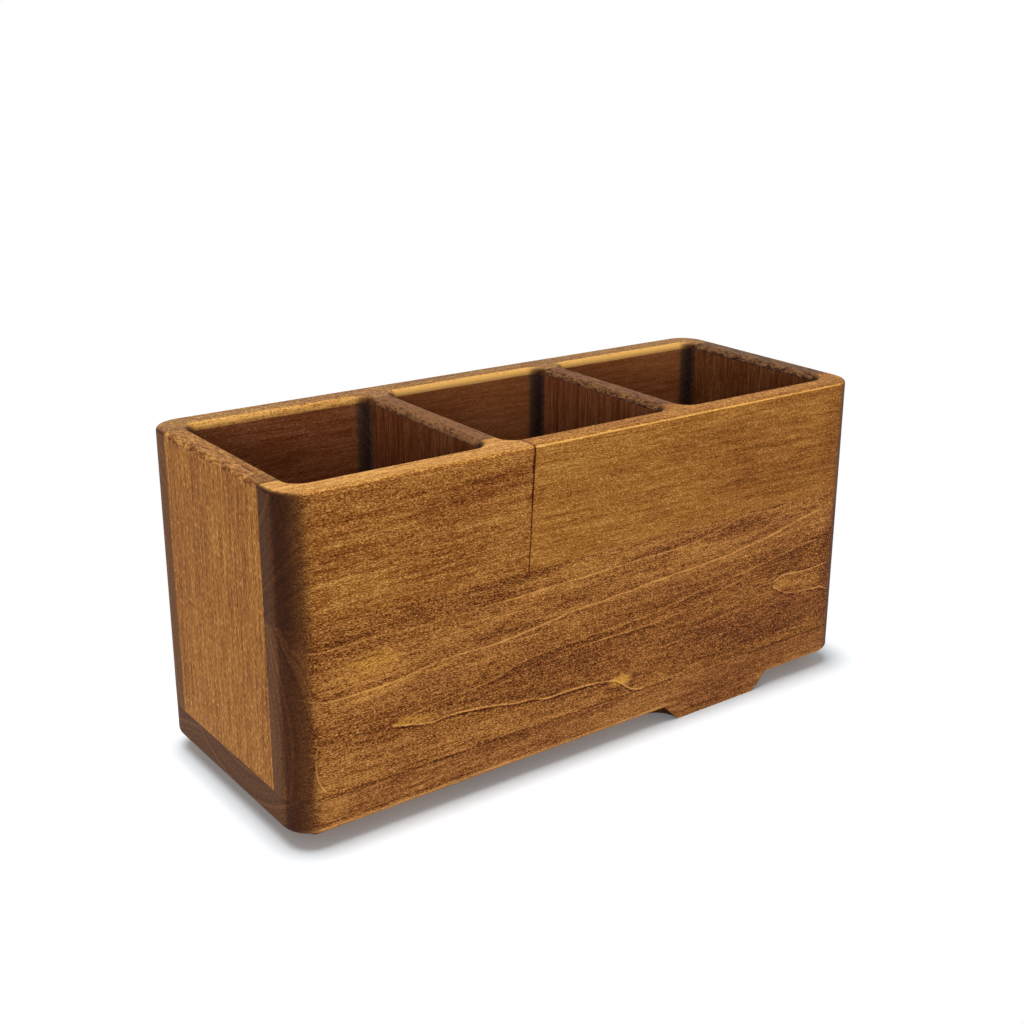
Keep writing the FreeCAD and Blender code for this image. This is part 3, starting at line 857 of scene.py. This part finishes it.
class CaddyFinish(bpy.types.PropertyGroup):
    """Sizes and colours of the wood's finish."""

    ring_wander: FloatProperty(
        name="Ring wander",
        description="How much growth rings stray from true circles, where 1 is up to a millimetre",
        default=1.0,
        min=0.0,
    )
    pore_depth: FloatProperty(
        name="Pore depth",
        description="Depth of the open pores that the stain leaves",
        default=0.0002,
        min=0.0,
        unit="LENGTH",
    )
    deep_tint: FloatVectorProperty(
        name="Deep tint",
        description="What the wood's colour is multiplied by where the stain lies thick",
        default=(1.0, 0.96, 1.2),
        size=3,
        subtype="COLOR",
    )
    pale_tint: FloatVectorProperty(
        name="Pale tint",
        description="What the wood's colour is multiplied by where the stain lies thin",
        default=(1.0, 1.02, 0.76),
        size=3,
        subtype="COLOR",
    )
    # Painted shade: darkens the wood inside the compartments
    inside_shade_tint: FloatVectorProperty(
        name="Inside tint",
        description="What the wood's colour is multiplied by inside the compartments",
        default=(0.87, 0.74, 1.4),
        size=3,
        subtype="COLOR",
    )
    # Painted shade in the compartments' rounded corners, over their dark end grain
    corner_shade_tint: FloatVectorProperty(
        name="Corner tint",
        description="The same for the end grain in the compartments' rounded corners",
        default=(0.56, 0.76, 1.75),
        size=3,
        subtype="COLOR",
    )
    # A painted highlight on the rim's inner rounding
    rim_highlight: FloatProperty(
        name="Rim lift",
        description="How much paler the rim's inner rounding is, as a share of the stain's range",
        default=0.3,
        min=0.0,
        max=1.0,
    )


class CaddyStage(bpy.types.PropertyGroup):
    """Sizes of the studio round the caddy."""

    floor_side: FloatProperty(
        name="Floor side", description="Side of the square floor", default=12.0, unit="LENGTH"
    )
    floor_glow: FloatProperty(
        name="Floor glow",
        description="Light of the floor near the caddy, which keeps the shadow from going too dark",
        default=0.12,
    )
    sky: FloatProperty(name="Sky", description="Strength of the even white surround", default=0.35)
    top: FloatProperty(name="Top lamp", description="Strength of the lamp overhead", default=2.9)
    side: FloatProperty(
        name="Side lamp", description="Strength of the low lamp at the front left", default=0.9
    )
    shadow: FloatProperty(
        name="Shadow lamp",
        description="Power of the panel overhead, which lights the floor alone",
        default=6.1,
        unit="POWER",
    )


# ---------------------------------------------------------------- operators


class FinishBoards:
    """Shared by the operators that stain a group of boards."""

    bl_options = {"REGISTER", "UNDO"}
    boards = ()

    def execute(self, context):
        for name in self.boards:
            dress(name, BoardShader(name, BOARDS[name]).owner)
        return {"FINISHED"}


class CADDY_OT_lower_planks(FinishBoards, bpy.types.Operator):
    """Stain the wide lower planks of the front and back, the front one with a flame figure"""

    bl_idname = "caddy.lower_planks"
    bl_label = "Lower Planks"
    boards = ("front_lower_plank", "back_lower_plank")


class CADDY_OT_upper_staves(FinishBoards, bpy.types.Operator):
    """Stain the staves along the top of the front and back"""

    bl_idname = "caddy.upper_staves"
    bl_label = "Upper Staves"
    boards = (
        "front_upper_left_stave",
        "front_upper_right_stave",
        "back_upper_left_stave",
        "back_upper_right_stave",
    )


class CADDY_OT_end_staves(FinishBoards, bpy.types.Operator):
    """Stain the upright staves of the two end panels"""

    bl_idname = "caddy.end_staves"
    bl_label = "End Panels"
    boards = (
        "left_end_wide_stave",
        "left_end_narrow_stave",
        "right_end_wide_stave",
        "right_end_narrow_stave",
    )


class CADDY_OT_divider_staves(FinishBoards, bpy.types.Operator):
    """Stain the upright staves of the two dividers"""

    bl_idname = "caddy.divider_staves"
    bl_label = "Dividers"
    boards = (
        "left_divider_wide_stave",
        "left_divider_narrow_stave",
        "right_divider_wide_stave",
        "right_divider_narrow_stave",
    )


class CADDY_OT_base_planks(FinishBoards, bpy.types.Operator):
    """Stain the two planks of the base, with its tab"""

    bl_idname = "caddy.base_planks"
    bl_label = "Base"
    boards = ("base_front_plank", "base_rear_plank")


class CADDY_OT_dowels(bpy.types.Operator):
    """Give the hidden dowels their raw wood"""

    bl_idname = "caddy.dowels"
    bl_label = "Dowels"
    bl_options = {"REGISTER", "UNDO"}

    def execute(self, context):
        material = plain_dowel_wood()
        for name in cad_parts:
            if name.endswith("_dowels"):
                dress(name, material)
        return {"FINISHED"}


# The floor's colour, the colour of its glow, and the distances from the caddy in metres between
# which it turns plain white.
FLOOR_COLOUR = (0.79, 0.815, 0.835, 1.0)
GLOW_COLOUR = (0.83, 0.94, 1.0, 1.0)
WHITE_FROM, WHITE_BEYOND = 0.022, 0.05

# The camera: turn, downward tilt and roll in degrees, its place in metres, and the focal length
# and the middle of the view in pixels of a square image.
CAMERA_ANGLES = (-38.579, 18.258, 0.955)
CAMERA_PLACE = (-0.361955, -0.490210, 0.305644)
IMAGE_SIDE = 1024
FOCAL_PIXELS = 1425.136
VIEW_CENTRE = (576.441, 487.152)
SENSOR_WIDTH = 36.0


class CADDY_OT_stage(bpy.types.Operator):
    """Set up the floor, the surround, the lamps and the camera"""

    bl_idname = "caddy.stage"
    bl_label = "Studio"
    bl_options = {"REGISTER", "UNDO"}

    def execute(self, context):
        stage = context.scene.caddy_stage
        floor = self.floor(stage)
        self.surround(stage)
        top = self.sun("top_lamp", stage.top, spread=30.0, azimuth=-40.0, elevation=84.0)
        side = self.sun("side_lamp", stage.side, spread=20.0, azimuth=-42.0, elevation=10.0)
        shadow = self.panel("shadow_lamp", stage.shadow, width=0.66, place=(-0.09, 0.08, 0.66))
        self.reach(top, floor, "EXCLUDE")
        self.reach(side, floor, "EXCLUDE")
        self.reach(shadow, floor, "INCLUDE")
        self.blockers(shadow, ("base_front_plank", "base_rear_plank"))
        self.camera()
        context.scene.view_settings.view_transform = "Standard"
        return {"FINISHED"}

    def floor(self, stage):
        """A square floor, plain and faintly glowing near the caddy, and white by its own light
        further out."""
        half = stage.floor_side / 2
        mesh = bpy.data.meshes.new("floor")
        corners = [(-half, -half, 0), (half, -half, 0), (half, half, 0), (-half, half, 0)]
        mesh.from_pydata(corners, [], [(0, 1, 2, 3)])
        floor = self.show("floor", mesh)
        s = Shader(bpy.data.materials.new("white_floor"))
        plain = s.add("ShaderNodeBsdfDiffuse", None, {0: FLOOR_COLOUR})
        glow = s.add("ShaderNodeEmission", None, {0: GLOW_COLOUR, 1: stage.floor_glow})
        near = s.add("ShaderNodeAddShader", None, {0: plain, 1: glow})
        white = s.add("ShaderNodeEmission", None, {0: WHITE, 1: 1.0})
        place = s.split(s.coordinates("Object"))
        past_end, past_side = [
            s.math("MAXIMUM", abs(place[axis]) - CAD_HIGH[axis], 0.0) for axis in (0, 1)
        ]
        away = (past_end * past_end + past_side * past_side) ** 0.5
        far = s.rise(away, WHITE_FROM, WHITE_BEYOND)
        surface = s.add("ShaderNodeMixShader", None, {0: far, 1: near, 2: white})
        s.add("ShaderNodeOutputMaterial", None, {0: surface})
        mesh.materials.append(s.owner)
        return floor

    def surround(self, stage):
        """An even world: white to the camera, in gloss and through glass, and dimmer as light."""
        world = bpy.data.worlds.new("white_surround")
        bpy.context.scene.world = world
        s = Shader(world)
        seen = s.add("ShaderNodeLightPath", output="Is Camera Ray")
        for ray in ("Is Glossy Ray", "Is Transmission Ray"):
            seen = s.math("MAXIMUM", seen, s.add("ShaderNodeLightPath", output=ray))
        light, backdrop = [
            s.add("ShaderNodeBackground", None, {0: WHITE, 1: strength})
            for strength in (stage.sky, 1.0)
        ]
        mix = s.add("ShaderNodeMixShader", None, {0: seen, 1: light, 2: backdrop})
        s.add("ShaderNodeOutputWorld", None, {0: mix})

    def show(self, name, data):
        """A new object in the scene."""
        shown = bpy.data.objects.new(name, data)
        bpy.context.scene.collection.objects.link(shown)
        return shown

    def sun(self, name, strength, spread, azimuth, elevation):
        """A distant lamp: azimuth turns it from straight in front towards the right."""
        light = bpy.data.lights.new(name, "SUN")
        light.energy, light.angle = strength, math.radians(spread)
        lamp = self.show(name, light)
        a, e = math.radians(azimuth), math.radians(elevation)
        toward = Vector((math.sin(a) * math.cos(e), -math.cos(a) * math.cos(e), math.sin(e)))
        lamp.matrix_world = toward.to_track_quat("Z", "Y").to_matrix().to_4x4()
        return lamp

    def panel(self, name, power, width, place):
        """A round panel that shines straight down from its place."""
        light = bpy.data.lights.new(name, "AREA")
        light.shape, light.size, light.energy = "DISK", width, power
        lamp = self.show(name, light)
        lamp.location = place
        lamp.visible_camera = lamp.visible_glossy = False
        return lamp

    def reach(self, lamp, floor, state):
        """Makes a lamp light the floor alone, or everything but the floor."""
        group = bpy.data.collections.new(lamp.name + "_reach")
        group.objects.link(floor)
        group.collection_objects[0].light_linking.link_state = state
        lamp.light_linking.receiver_collection = group

    def blockers(self, lamp, names):
        """Lets only the named pieces cast the lamp's shadow, which keeps it short and soft."""
        group = bpy.data.collections.new(lamp.name + "_blockers")
        for name in names:
            group.objects.link(bpy.data.objects[name])
        lamp.light_linking.blocker_collection = group

    def camera(self):
        """A camera low at the left front corner, rolled a little, its frame shifted."""
        yaw, down, roll = (math.radians(angle) for angle in CAMERA_ANGLES)
        back = Vector(
            (math.sin(yaw) * math.cos(down), -math.cos(yaw) * math.cos(down), math.sin(down))
        )
        level = Vector((0, 0, 1)).cross(back).normalized()
        rise = back.cross(level)
        right = level * math.cos(roll) + rise * math.sin(roll)
        up = rise * math.cos(roll) - level * math.sin(roll)
        data = bpy.data.cameras.new("camera")
        data.sensor_width = SENSOR_WIDTH
        data.lens = SENSOR_WIDTH * FOCAL_PIXELS / IMAGE_SIDE
        data.shift_x = (IMAGE_SIDE / 2 - VIEW_CENTRE[0]) / IMAGE_SIDE
        data.shift_y = (VIEW_CENTRE[1] - IMAGE_SIDE / 2) / IMAGE_SIDE
        data.clip_start, data.clip_end = 0.01, 50.0
        camera = self.show("camera", data)
        turned = Matrix((right, up, back)).transposed().to_4x4()
        turned.translation = CAMERA_PLACE
        camera.matrix_world = turned
        bpy.context.scene.camera = camera


class CADDY_PT_panel(bpy.types.Panel):
    """Lists the caddy's operators and settings"""

    bl_idname = "CADDY_PT_panel"
    bl_label = "Utensil Caddy"
    bl_space_type = "VIEW_3D"
    bl_region_type = "UI"
    bl_category = "Caddy"

    def draw(self, context):
        column = self.layout.column()
        for operator in OPERATORS:
            column.operator(operator.bl_idname)
        for group in (context.scene.caddy_finish, context.scene.caddy_stage):
            for name in group.__annotations__:
                column.prop(group, name)


OPERATORS = (
    CADDY_OT_base_planks,
    CADDY_OT_lower_planks,
    CADDY_OT_upper_staves,
    CADDY_OT_end_staves,
    CADDY_OT_divider_staves,
    CADDY_OT_dowels,
    CADDY_OT_stage,
)
CLASSES = (CaddyFinish, CaddyStage, *OPERATORS, CADDY_PT_panel)


def register():
    for cls in CLASSES:
        bpy.utils.register_class(cls)
    bpy.types.Scene.caddy_finish = PointerProperty(type=CaddyFinish)
    bpy.types.Scene.caddy_stage = PointerProperty(type=CaddyStage)


def unregister():
    del bpy.types.Scene.caddy_stage
    del bpy.types.Scene.caddy_finish
    for cls in reversed(CLASSES):
        bpy.utils.unregister_class(cls)


def main():
    register()
    bpy.ops.caddy.base_planks()
    bpy.ops.caddy.lower_planks()
    bpy.ops.caddy.upper_staves()
    bpy.ops.caddy.end_staves()
    bpy.ops.caddy.divider_staves()
    bpy.ops.caddy.dowels()
    bpy.ops.caddy.stage()


if __name__ == "__main__":
    main()
